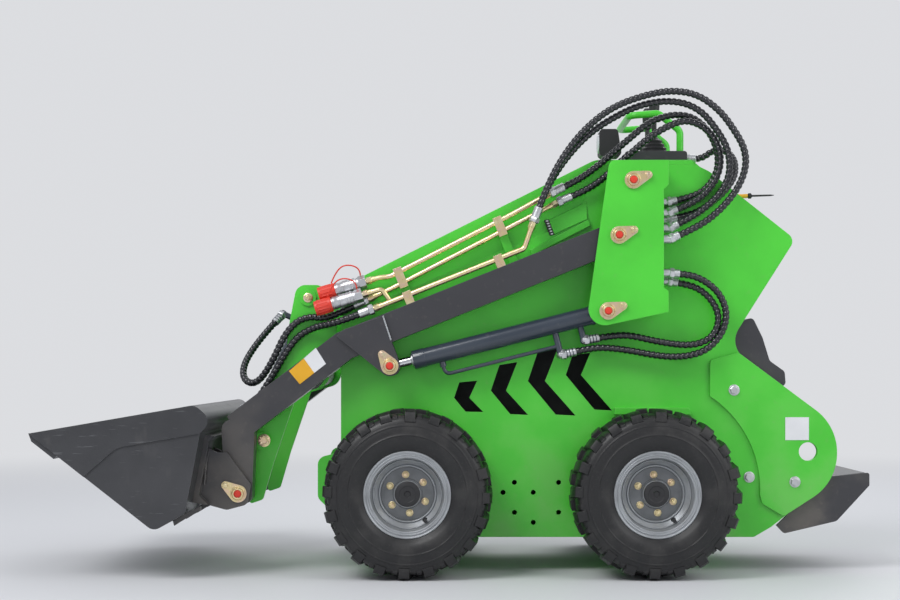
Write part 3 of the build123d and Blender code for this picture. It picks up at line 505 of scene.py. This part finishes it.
def wheel_trim():
    """Nut ring, nuts, hub cap and valve of one wheel, with its outside towards +Y."""
    nuts = Piece()
    studs = Piece()
    for k in range(6):
        angle = math.radians(60 * k + 6)
        x, z = 52 * math.sin(angle), 52 * math.cos(angle)
        nuts.turned([(33, 10.4), (36, 10.4), (37, 9)], (x, 0, z), (0, 1, 0), 20)
        nuts.turned([(36, 8.2), (45, 8.2), (46.5, 6.6)], (x, 0, z), (0, 1, 0), 6, angle)
        studs.turned([(40, 4.2), (50, 4.2), (51, 3.2)], (x, 0, z), (0, 1, 0), 14)
    disc = Piece()
    ring = [(33.4, 72.5), (35.2, 72.5), (36, 71), (36, 40), (34.6, 39), (33.4, 39), (33.4, 72.5)]
    disc.turned(ring, (0, 0, 0), (0, 1, 0), 64)
    rings = Piece()
    for along, radius, width in (
            (88, 115, 3.2), (87.2, 107, 2.2), (84.5, 100.6, 1.8), (58, 92, 1.6), (40, 76, 2.4)):
        loop = [(along - 3, radius - width), (along + 0.6, radius - width * 0.9),
                (along + 2, radius - width * 0.4), (along + 2, radius + width * 0.4),
                (along + 0.6, radius + width * 0.9), (along - 3, radius + width)]
        rings.turned(loop + [loop[0]], (0, 0, 0), (0, 1, 0), 96)
    cap = Piece()
    cap.turned([(50, 34.5), (57, 34.5), (59.5, 33), (61, 29), (61.6, 22), (60.4, 21), (60.2, 9), (57, 8),
                (57, 0.1)],
               (0, 0, 0), (0, 1, 0), 56)
    valve = Piece()
    angle = math.radians(-146)
    x, z = 86 * math.sin(angle), 86 * math.cos(angle)
    valve.turned([(38, 7.5), (44, 7.5), (47, 5.5), (60, 4.4), (61, 4.8), (68, 4.8), (69.5, 3.6)],
                 (x, 0, z), (0.0, 1, 0), 18)
    return [
        ("nuts", nuts, gold_zinc, "zinc_steel"), ("studs", studs, gold_zinc, "zinc_steel"),
        ("disc", disc, disc_silver, "rim_silver"),
        ("rings", rings, wheel_paint, "rim_silver"), ("hub_cap", cap, black_plastic, "black_plastic"),
        ("valve", valve, black_plastic, "black_plastic"),
    ]


trims = [(name, piece.object("trim_" + name, finish, 0.6), slot)
         for name, piece, finish, slot in wheel_trim()]
for corner in wheel_corners:
    low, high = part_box("tyre_" + corner)
    centre = (Vector(low) + Vector(high)) / 2
    face_out = Matrix.Rotation(math.pi, 4, "Z") if centre.y < 0 else Matrix()
    for name, source, slot in [("tyre", tyre, "tyre_rubber")] + trims:
        copy = bpy.data.objects.new("%s_%s_look" % (name, corner), source.data)
        bpy.context.scene.collection.objects.link(copy)
        for modifier in source.modifiers:
            cut = copy.modifiers.new(modifier.name, "BEVEL")
            for key in ("width", "segments", "limit_method", "angle_limit", "harden_normals"):
                setattr(cut, key, getattr(modifier, key))
        copy.matrix_world = Matrix.Translation(centre) @ face_out
        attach(copy, "wheel_" + corner)
        if name == "tyre":
            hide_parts("tyre_" + corner)
for source in [tyre] + [t[1] for t in trims]:
    bpy.data.objects.remove(source)


# ---------------------------------------------------------------- hoses
hose_radius = 10.0
ferrule_radius = 12.0
arm_inner = 275.0
short_ferrule = 28
long_ferrule = 42


def across(points, first_y, last_y):
    """(x, z) places made (x, y, z), with y changing evenly over the first half from the first to the last."""
    shares = [min(1, 2 * (i + 1) / len(points)) for i in range(len(points))]
    return [(x, first_y + share * (last_y - first_y), z) for share, (x, z) in zip(shares, points)]


def smooth_line(name, route):
    """Points about 1.3 mm apart on the smooth curve that a route's points steer."""
    curve = bpy.data.curves.new(name, "CURVE")
    curve.dimensions = "3D"
    spline = curve.splines.new("NURBS")
    spline.points.add(len(route) - 1)
    for point, place in zip(spline.points, route):
        point.co = (*[c * MM for c in place], 1)
    spline.order_u = 3
    spline.use_endpoint_u = True
    runs = sum((Vector(b) - Vector(a)).length for a, b in zip(route, route[1:])) / (len(route) - 1)
    spline.resolution_u = round(runs / 1.3)
    line = bpy.data.objects.new(name, curve)
    bpy.context.scene.collection.objects.link(line)
    mesh = bpy.data.meshes.new_from_object(line)
    path = [v.co / MM for v in mesh.vertices]
    bpy.data.objects.remove(line)
    return path


def ferrule(name, end, inward, length, body):
    """The crimped sleeve and the hexagon nut at a hose's end."""
    aim = (Vector(end) - Vector(inward)).normalized()
    r = ferrule_radius + 0.4
    sleeve = Piece()
    outline = [(-1.5, r - 1.2), (0, r)]
    step = (length - 16) / 3
    for ring in range(3):
        outline += [(step * ring + 0.7 * step, r), (step * ring + 0.75 * step, r - 0.9),
                    (step * (ring + 1), r - 0.9)]
        outline += [(step * (ring + 1) + 0.3, r)]
    sleeve.turned(outline + [(length - 14, r)], end, aim, 36)
    sleeve.turned([(length - 14, 14.2), (length - 13, 15), (length - 2, 15), (length - 1, 14.2)], end, aim, 6)
    sleeve.place(name, body, zinc_bright, "bright_steel", 0.5)


def hose(name, length, route, bodies, ends, bend=None):
    """A hose in its spiral guard.

    bodies hold its two ends' ferrules; where bend is given, the hose stays fixed in place instead of riding
    on the first body, and bend's points are not used.
    """
    path = smooth_line(name + "_route", route)
    skin = Piece().tube(path, hose_radius - 0.9, 16, 0.9, 14)
    made = skin.object(name + "_look", hose_rubber, sharp=180)
    if bend:
        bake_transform(made)
    else:
        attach(made, bodies[0])
    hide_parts(name)
    tuple(c * MM for c in route[0])
    length * MM
    ferrule(name + "_first_ferrule", route[0], route[1], ends[0], bodies[0])
    ferrule(name + "_last_ferrule", route[-1], route[-2], ends[1], bodies[-1])


# name, length, first point, last point, (x, z) places between
arm_hoses = [
    ("hose_outer", 1115, (218.2, -336, 1011.3), (602.7, -342, 935), [
        (241.5, 1072), (283, 1152), (344, 1230), (422, 1291), (516, 1324), (585.5, 1335), (655, 1324),
        (716, 1280), (757, 1224), (785, 1174), (789, 1122), (766, 1064), (721, 1008), (661, 960)]),
    ("hose_second", 993, (218.3, -312, 1011.3), (602.2, -320, 967.2), [
        (238, 1062), (277, 1129), (327, 1190), (377, 1234), (432, 1267), (476, 1289), (521, 1303),
        (565, 1309), (609, 1306), (643, 1295), (676, 1273), (703, 1240), (726, 1206), (742, 1173),
        (748, 1129), (742, 1090), (718, 1049), (684, 1017), (645, 988)]),
    ("hose_top", 751, (289.3, -287.3, 1074.2), (604.4, -277, 1037.9), [
        (335, 1096), (391, 1138), (435, 1177), (480, 1216), (524, 1253), (569, 1272), (608, 1278),
        (647, 1272), (681, 1248), (708, 1210), (722, 1164), (720, 1120), (698, 1080), (660, 1050)]),
    ("hose_middle", 741, (310.8, -288.7, 1047.6), (603, -298, 1010.4), [
        (356, 1067), (401, 1098), (445, 1142), (479, 1170), (523, 1209), (568, 1237), (612, 1256),
        (645, 1256), (684, 1237), (712, 1204), (726, 1160), (722, 1116), (699, 1072), (657, 1032)]),
]
for name, length, first, last, run in arm_hoses:
    route = [last] + across(run, first[1], last[1])[::-1] + [first]
    hose(name, length, route, ("chassis", "boom"), (short_ferrule, long_ferrule),
         ((600, -300, 1100), (330, -300, 1100)))
lift_hoses = [
    ("hose_lift_lower", 675, (604.9, -328.6, 829.8), (320.6, -310, 614.8), [
        (640, 827), (681, 809), (717, 778), (738, 734), (736, 688), (714, 647), (680, 617), (636, 603),
        (586, 600), (533, 606), (478, 617), (420, 625), (370, 626)]),
    ("hose_lift_upper", 540, (604.6, -300.7, 806.3), (385, -310, 653.1), [
        (642, 800), (677, 781), (704, 752), (719, 716), (714, 679), (693, 651), (660, 636), (623, 633),
        (579, 638), (529, 647), (479, 659), (434, 661)]),
]
for name, length, first, last, run in lift_hoses:
    route = [first] + across(run, first[1], last[1]) + [last]
    hose(name, length, route, ("chassis", "lift_barrel_left"), (short_ferrule, long_ferrule),
         ((590, -310, 620), (400, -310, 620)))
arm_y = -arm_inner
hose("hose_tilt_base", 695, [
    (-542, -24.3, 704.2), (-556, -40, 687), (-590, -82, 640), (-615, -130, 593), (-620, -172, 557),
    (-608, arm_y + 76, 533), (-583, arm_y + 52, 525), (-556, arm_y + 34, 542), (-523, arm_y + 19, 594),
    (-493, arm_y + 13, 659), (-459, arm_y + 13, 700), (-419, arm_y + 9, 714), (-380, arm_y + 3, 708),
    (-340, arm_y - 7, 721), (-293.1, -285.3, 742.9),
], ("tilt_barrel", "boom"), (long_ferrule, long_ferrule), ((-570, -90, 660), (-520, -250, 660)))
hose("hose_tilt_gland", 684, [
    (-636.1, -41.6, 449.2), (-640, -85, 445), (-641, -130, 430), (-635, -180, 425), (-622, arm_y + 50, 432),
    (-589, arm_y + 20, 452), (-549, arm_y + 13, 508), (-512, arm_y + 13, 570), (-487, arm_y + 13, 614),
    (-453, arm_y + 11, 659), (-413, arm_y + 3, 681), (-375, arm_y - 20, 690), (-330, arm_y - 50, 699),
    (-276.8, -331.3, 718.7),
], ("tilt_barrel", "boom"), (long_ferrule, long_ferrule), ((-640, -90, 440), (-590, -250, 450)))
hose("hose_console", 427, [
    (678, -130, 1172), (700, -130, 1174), (728, -138, 1196), (760, -170, 1192), (777, -218, 1160),
    (774, arm_y + 24, 1118), (760, arm_y + 4, 1090), (736, arm_y - 1, 1059), (694, arm_y - 2, 1023),
    (648, arm_y - 2, 997), (604.6, -277, 989.7),
], ("chassis",), (short_ferrule, short_ferrule))


# ---------------------------------------------------------------- fasteners and small fittings
LEFT = (0, -1, 0)
# pins, as (x, z)
boom_pivot = (436, 934)
lift_base = (406, 726)
brace_pin = (475, 1085)
lift_eye = (-193, 575)
bucket_pivot = (-609, 225)
tilt_base = (-426, 767)
cylinder_y = 310


def hexagon(piece, at, aim, radius, height, turn=0.0):
    """A bolt head with a washer under it and a chamfered top."""
    piece.turned([(0, radius * 1.25), (1.4, radius * 1.25), (1.8, radius * 1.18)], at, aim, 24)
    piece.turned([(1.6, radius), (height - 1, radius), (height, radius * 0.88)], at, aim, 6, turn)
    piece.turned([(height - 0.6, radius * 0.72), (height + 0.1, radius * 0.68)], at, aim, 20)


# the tower's three keepers lie alike
tower_tail, tower_face = (41, 14), 371
# name, body, pin, its keeper's tail from there, distance across of the keeper's face
keepers = [
    ("boom_pin", "chassis", boom_pivot, tower_tail, tower_face),
    ("lift_pin", "chassis", lift_base, tower_tail, tower_face),
    ("brace_pin", "chassis", brace_pin, tower_tail, tower_face),
    ("eye_pin", "boom", lift_eye, (-21, 32), 361),
    ("bucket_pin", "bucket", bucket_pivot, (-34, 23), 368),
]
for turn, (name, body, (x, z), tail, across_y) in enumerate(keepers):
    steel = Piece()
    steel.turned([(0, 15.4), (7, 15.4), (8, 14.4), (8, 11), (6.6, 10), (6.6, 0.1)],
                 (x, -across_y, z), LEFT, 40)
    steel.turned([(0, 20.4), (2.2, 20.4), (3, 19.6), (3, 17.4), (0.4, 17)], (x, -across_y, z), LEFT, 48)
    hexagon(steel, (x + tail[0], -across_y, z + tail[1]), LEFT, 7.5, 7.5, turn)
    steel.mirrored().place(name + "_trim", body, gold_zinc, "zinc_steel", 0.4)
    cap = Piece()
    cap.turned([(6.4, 9.6), (9.4, 9.6), (11, 8), (11.6, 4), (11.7, 0.1)], (x, -across_y, z), LEFT, 28)
    cap.mirrored().place(name + "_cap", body, red_plastic, "red_plastic")

# x, distance across, z and radius of the bolts in the tail plates and the body's sides
body_bolts = Piece()
for turn, (x, y, z, radius) in enumerate([
        (767, 272, 508, 12.5), (937, 272, 251, 12.5), (811, 262, 264, 12.5)]):
    hexagon(body_bolts, (x, -y, z), LEFT, radius, 8, 0.3 + 0.7 * turn)
body_bolts.mirrored().place("body_bolts", "chassis", zinc_bright, "bright_steel", 0.4)

# slotted nut of the stop that each lever plate carries, on the face of its boss
stop_x, stop_y, stop_z = -547, -275, 367
nuts = Piece()
nuts.turned([(0, 18), (2, 18), (2.5, 17)], (stop_x, stop_y, stop_z), LEFT, 40)
nuts.turned([(2.5, 14.5), (10, 14.5), (11, 13), (11, 9), (9, 8.5), (9, 0.1)],
            (stop_x, stop_y, stop_z), LEFT, 12)
for k in range(8):
    angle = math.radians(45 * k)
    at = (stop_x + 12.3 * math.sin(angle), stop_y, stop_z + 12.3 * math.cos(angle))
    nuts.turned([(10, 3.2), (14, 3.2), (14.6, 2.4)], at, LEFT, 4)
nuts.mirrored().place("stop_nuts", "boom", gold_zinc, "zinc_steel", 0.4)

# washer and bolt on each end of the tilt cylinder's shaft
ends = Piece()
ends.turned([(0, 13.5), (2, 13.5), (2.6, 12.6)], (tilt_base[0], -256, tilt_base[1]), LEFT, 40)
hexagon(ends, (tilt_base[0], -258, tilt_base[1]), LEFT, 8, 8, 0.2)
ends.mirrored().place("tilt_shaft_bolts", "boom", gold_zinc, "zinc_steel", 0.4)

# wear ribs under the heel of the bucket
ribs = Piece()
for y in (-420, -210, 0, 210, 420):
    ribs.prism([(-778, 156), (-733, 182), (-702, 195), (-702, 183), (-734, 167), (-774, 142)], y - 6, y + 6)
ribs.place("bucket_ribs", "bucket", dark_paint, "dark_paint", 0.8)

# cable guard on the left side of the hood: a leaning cover over a lip, with a slotted front end
guard = Piece()
corners = [(250, 984), (356, 1035), (356, 986), (264, 945)]
leans = (262.5, 262.5, 271, 271)
cover = [(x, -254, z) for x, z in corners] + [(x, -y, z) for (x, z), y in zip(corners, leans)]
guard.add(cover, [(0, 1, 2, 3), (7, 6, 5, 4)] + [(i, i + 4, (i + 1) % 4 + 4, (i + 1) % 4) for i in range(4)])
guard.prism([(359, 985), (365, 968), (202, 884), (197, 900)], -273.5, -254)
guard.place("cable_guard", "chassis", green_paint, "green_paint", 0.8)
slotted = Piece().prism([(236, 984), (250, 986), (266, 944), (252, 940)], -264, -254)
slotted.place("guard_end", "chassis", black_plastic, "black_plastic", 0.8)
bars = Piece()
for k in range(6):
    x, z = 241 + 2.7 * k, 981 - 7.2 * k
    bars.prism([(x, z - 2), (x + 7, z - 1), (x + 7, z + 3), (x, z + 2)], -265.2, -263)
bars.place("guard_bars", "chassis", zinc_bright, "bright_steel", 0.4)

# edging that closes the joint between the side plates and the deck
deck_edge = Piece().prism([(574, 1139), (657, 1139), (652, 1151), (574, 1151)], -262, -254.5)
deck_edge.mirrored().place("deck_edging", "chassis", green_paint, "green_paint", 0.8)


def pipe_nut(piece, at, aim, radius=10.5):
    """A union nut on the end of a pipe, with a thinner lock nut behind it."""
    piece.turned([(-17, radius - 0.8), (-16.2, radius), (-3, radius), (-2, radius - 0.8)], at, aim, 6, 0.4)
    piece.turned([(-26, 8.2), (-18, 8.6)], at, aim, 24)


# place and direction of the pipes' front ends that carry the couplers
low_front = ((-270.7, -312, 772.7), (-0.958, 0, -0.288))
top_front = ((-262.1, -288, 810.6), (-0.9615, 0, -0.275))
unions = Piece()
for at, aim in (
        ((203, -312, 972.2), (0.334, 0, 0.943)), ((203, -336, 972.2), (0.334, 0, 0.943)),
        ((272, -288, 1031), (0.887, 0, 0.461)), ((251, -288, 1056), (0.877, 0, 0.480)),
        ((-255, -288, 760.6), (-0.906, 0, -0.423)), ((-237.6, -336, 733.1), (-0.928, 0, -0.372)),
        low_front, top_front):
    pipe_nut(unions, at, aim)
unions.place("pipe_unions", "boom", gold_zinc, "zinc_steel", 0.3)

# quick couplers: hexagon foot, sliding sleeve and lip, and the ribs and tether of the dust cap
for name, (at, aim) in (("low", low_front), ("top", top_front)):
    body = Piece()
    body.turned([(0, 18.4), (1, 19.6), (19, 19.6), (20, 18.4)], at, aim, 6, 0.2)
    sleeve = [(26, 17.6), (27, 19.2), (34, 19.2), (34.6, 18.2), (38, 18.2), (38.6, 19.2), (42, 19.2),
              (42.6, 18.2)]
    sleeve += [(46, 18.2), (46.6, 19.2), (64, 19.2), (65, 17.8), (74, 17.8), (75, 18.4), (84, 18.4),
               (85, 17.4)]
    body.turned(sleeve, at, aim, 48)
    body.place(name + "_coupler_look", "boom", zinc_bright, "bright_steel", 0.4)
    cap = Piece()
    cap.turned([(88, 18), (88, 20.6), (91, 21), (95, 21), (96, 20.7), (130, 20.7), (136.4, 18.6)],
               at, aim, 48)
    along = Vector(aim)
    up = Vector((-along.z, 0, along.x))
    for k in range(16):
        angle = 2 * math.pi * k / 16
        out = up * math.cos(angle) + Vector((0, 1, 0)) * math.sin(angle)
        cap.turned([(98, 1.2), (99, 1.5), (128, 1.5), (129, 1.2)], Vector(at) + out * 20.2, aim, 8)
    cap.place(name + "_cap_look", "boom", red_plastic, "red_plastic", 0.5)
    tether = Piece()
    route = [Vector(at) + along * a - up * b + Vector((0, c, 0)) for a, b, c in (
        (94, 22, -2), (78, 42, -8), (52, 60, -14), (24, 54, -14), (6, 36, -8), (10, 20, -3))]
    tether.tube(smooth_line(name + "_tether_route", [tuple(p) for p in route])[::3], 2.0, 10)
    tether.place(name + "_tether", "boom", red_plastic, "red_plastic")

# blank labels
arm_outer_face = -346.2
label = Piece().prism([(-471, 561), (-430, 596), (-401, 556), (-441, 525)],
                      arm_outer_face, arm_outer_face + 2)
label.place("arm_label_yellow", "boom", yellow_label, "red_plastic")
label = Piece().prism([(-430, 596), (-397, 625), (-369, 581), (-401, 556)],
                      arm_outer_face, arm_outer_face + 2)
label.place("arm_label_white", "boom", white_label, "red_plastic")
label = Piece().prism([(910, 368), (976, 368), (976, 432), (910, 432)], -273.2, -271)
label.place("tail_label", "chassis", white_label, "red_plastic")


def weld(name, path, body, finish, slot, radius=4.0):
    """A rippled bead of weld along straight runs, on both sides of the machine."""
    bead = Piece()
    line = []
    for a, b in zip(path, path[1:]):
        a, b = Vector(a), Vector(b)
        steps = max(2, int((b - a).length / 2))
        line += [a.lerp(b, i / steps) for i in range(steps)]
    line.append(Vector(path[-1]))
    for i, here in enumerate(line):
        line[i] = here + Vector((0.35 * math.sin(i * 2.1), 0, 0.35 * math.cos(i * 1.7)))
    bead.tube(line, radius, 8)
    for i, point in enumerate(bead.points):
        ring = i // 8
        centre = line[ring]
        swell = 1 + 0.16 * math.sin(ring * 1.55)
        bead.points[i] = tuple(centre + (Vector(point) - centre) * swell)
    bead.mirrored().place(name, body, finish, slot)


# weld bead along the ear's rear edge in light silver paint, which is a painted highlight on that edge
weld("elbow_weld_highlight", [(-212, -354, 713), (-190, -354, 646)], "boom", wheel_paint, "dark_paint", 2.4)
weld("cross_tube_weld", [
    (-421 + 41 * math.cos(a * 0.2618), -277, 553 + 41 * math.sin(a * 0.2618)) for a in range(25)
], "boom", dark_paint, "dark_paint")
weld("tower_foot_weld", [(553, -263, 735), (553, -263, 1100)], "chassis", green_paint, "green_paint")
weld("attach_weld", [(-700, -374, 250), (-690, -374, 380)], "bucket", dark_paint, "dark_paint", 3.4)

# gland nut, wiper and piston-side collar of the cylinders
for name, base, aim, body, y, length, radius, both in (
        ("lift", lift_base, (-0.9697, 0, -0.2445), "lift_barrel", cylinder_y, 551.7, 26, True),
        ("tilt", tilt_base, (-0.4256, 0, -0.9049), "tilt_barrel", 0, 401.8, 30, False)):
    for side, suffix in ((-1, "_left"), (1, "_right")) if both else ((1, ""),):
        at = (base[0], side * y, base[1])
        ring = Piece()
        ring.turned([(length - 34, radius), (length - 33, radius + 0.9), (length - 4, radius + 0.9),
                     (length + 1, radius - 0.6), (length + 1, 16)], at, aim, 56)
        ring.place(name + "_gland" + suffix, body + suffix, cylinder_paint, "cylinder_paint", 0.5)
        wiper = Piece().turned([(length - 1, 18.5), (length + 4, 18), (length + 6, 15.2),
                                (length + 6, 14.2)], at, aim, 48)
        wiper.place(name + "_wiper" + suffix, body + suffix, zinc_bright, "bright_steel")
        collar = Piece().turned([(37, radius + 0.2), (38, radius + 1.8), (46, radius + 1.8),
                                 (47, radius + 0.2)], at, aim, 56)
        collar.place(name + "_collar" + suffix, body + suffix, cylinder_paint, "cylinder_paint")

# bright unions over the ports that the hoses screw on to
balls = Piece()
for x, z in ((345.0, 646.3), (279.5, 605.4)):
    balls.turned([(-12.2, 4), (-9, 8.6), (0, 11.9), (9, 8.6), (12.2, 4)], (x, -cylinder_y, z), LEFT, 24)
balls.place("lift_port_unions", "lift_barrel_left", zinc_bright, "bright_steel")

# lens of the work lamp, and the deck's throttle rod and its grip
lamp_low, lamp_high = (Vector(p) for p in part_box("work_lamp"))
mid_y = (lamp_low.y + lamp_high.y) / 2 / MM
lens = Piece().turned([(0, 27), (3, 27), (5, 24), (6, 0.1)],
                      (lamp_low.x / MM + 1, mid_y, 1211), (-1, 0, 0), 40)
lens.place("lamp_lens", "chassis", lamp_lens, "black_plastic", 0.4)
throttle_at, throttle_aim = (735, 40, 1079), (1, 0, 0.03)
rod = Piece().turned([(0, 2.4), (124, 2.4), (125, 6), (127, 8.4), (134, 8.4), (138, 3), (192, 2.6), (203, 1)],
                     throttle_at, throttle_aim, 20)
rod.place("throttle_rod", "chassis", black_steel, "black_plastic")
grip = Piece().turned([(80, 4), (84, 6.4), (92, 6.8), (108, 6), (122, 6.6), (125, 5)],
                      throttle_at, throttle_aim, 20)
grip.place("throttle_grip", "chassis", yellow_label, "black_plastic")

# ---------------------------------------------------------------- stage, light and camera
backdrop = (0.715, 0.725, 0.75, 1)
# name, place, size, power
lights = (
    ("key", (-2.6, -3.4, 4.6), 2.6, 175),
    ("fill", (3.6, -2.6, 2.8), 3.0, 60),
    ("back", (1.0, 4.0, 3.8), 3.5, 70),
)
camera_place = (-0.0275, -5.005, 0.564)
camera_lens = 67.7
camera_shift = 0.0778


def stage():
    ground = Piece()
    ground.turned([(-1, 14000), (-0.2, 14000)], (0, 0, 0), (0, 0, 1), 96)
    pale = (0.70, 0.71, 0.735)
    finish = Finish("pale_floor", pale, 0.6)
    x, y, _ = finish.axes()
    distance = (x * x + y * y).math("SQRT")
    glow = finish.make("ShaderNodeEmission", {}, {"Color": backdrop, "Strength": 1.0})[0]
    shader = Value(finish, finish.shader.outputs[0])
    both = finish.make("ShaderNodeMixShader", {}, {0: distance.above(2.6, 7.0), 1: shader, 2: glow})[0]
    finish.tree.links.new(both.socket, finish.tree.nodes["Material Output"].inputs["Surface"])
    ground.object("floor", finish)
    scene = bpy.context.scene
    world = bpy.data.worlds.new("studio")
    scene.world = world
    world.use_nodes = True
    tree = world.node_tree
    soft = tree.nodes["Background"]
    soft.inputs["Color"].default_value = (0.93, 0.95, 1.0, 1)
    soft.inputs["Strength"].default_value = 0.56
    seen = tree.nodes.new("ShaderNodeBackground")
    seen.inputs["Color"].default_value = backdrop
    rays = tree.nodes.new("ShaderNodeLightPath")
    both = tree.nodes.new("ShaderNodeMixShader")
    tree.links.new(rays.outputs["Is Camera Ray"], both.inputs[0])
    tree.links.new(soft.outputs[0], both.inputs[1])
    tree.links.new(seen.outputs[0], both.inputs[2])
    tree.links.new(both.outputs[0], tree.nodes["World Output"].inputs["Surface"])
    for name, place, size, power in lights:
        lamp = bpy.data.lights.new(name, "AREA")
        lamp.size = size
        lamp.energy = power
        made = bpy.data.objects.new(name, lamp)
        made.location = place
        made.rotation_euler = (Vector((0, 0, 0.5)) - Vector(place)).to_track_quat("-Z", "Y").to_euler()
        scene.collection.objects.link(made)
    camera = bpy.data.cameras.new("camera")
    camera.sensor_width = 36
    camera.lens = camera_lens
    camera.shift_y = camera_shift
    seat = bpy.data.objects.new("camera", camera)
    seat.location = camera_place
    seat.rotation_euler = (math.radians(90), 0, 0)
    scene.collection.objects.link(seat)
    scene.camera = seat
    scene.view_settings.view_transform = "Standard"


stage()
